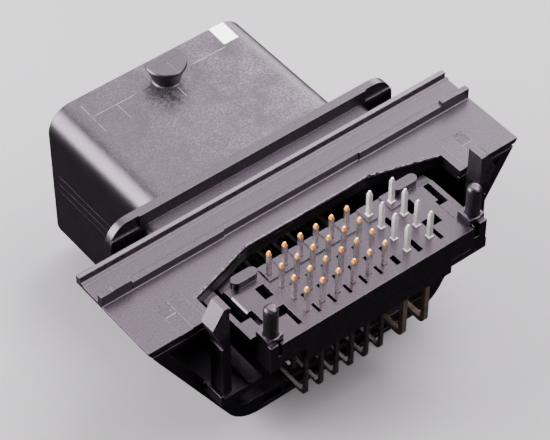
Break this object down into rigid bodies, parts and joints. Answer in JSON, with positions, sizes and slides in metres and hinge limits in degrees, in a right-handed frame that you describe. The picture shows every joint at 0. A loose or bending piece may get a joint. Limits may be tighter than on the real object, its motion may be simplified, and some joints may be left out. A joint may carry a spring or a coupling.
{
  "type": "sealed board header connector",
  "caption": "Right-angle sealed board header: a deep rectangular hood with a lever boss, a tapered sealing flange, locating posts, hooks and rows of square contacts.",
  "frame": {"origin": "midway between the two locating posts, in the plane of the board seat", "axes": "+Z out of the board seat along the posts, +Y towards the mouth of the hood, +X along the line of the posts"},
  "size_m": [0.072, 0.0599, 0.0376],
  "materials": {
    "housing": "black moulded plastic, fine satin grain",
    "alignment_plate": "black moulded plastic, fine satin grain",
    "signal_contact": "dull plated copper alloy with warm gold points",
    "power_contact": "matt tin plate"
  },
  "bodies": {
    "root": {"housing": "housing", "alignment_plate": "alignment_plate", "signal_contact_a1": "signal_contact", "signal_contact_a2": "signal_contact", "signal_contact_a3": "signal_contact", "signal_contact_a4": "signal_contact", "signal_contact_a5": "signal_contact", "signal_contact_a6": "signal_contact", "power_contact_a1": "power_contact", "power_contact_a2": "power_contact", "signal_contact_b1": "signal_contact", "signal_contact_b2": "signal_contact", "signal_contact_b3": "signal_contact", "signal_contact_b4": "signal_contact", "signal_contact_b5": "signal_contact", "signal_contact_b6": "signal_contact", "power_contact_b1": "power_contact", "power_contact_b2": "power_contact", "signal_contact_c1": "signal_contact", "signal_contact_c2": "signal_contact", "signal_contact_c3": "signal_contact", "signal_contact_c4": "signal_contact", "signal_contact_c5": "signal_contact", "signal_contact_c6": "signal_contact", "power_contact_c1": "power_contact", "power_contact_c2": "power_contact", "signal_contact_d1": "signal_contact", "signal_contact_d2": "signal_contact", "signal_contact_d3": "signal_contact", "signal_contact_d4": "signal_contact", "signal_contact_d5": "signal_contact", "signal_contact_d6": "signal_contact", "power_contact_d1": "power_contact", "power_contact_d2": "power_contact"}
  },
  "joints": []
}
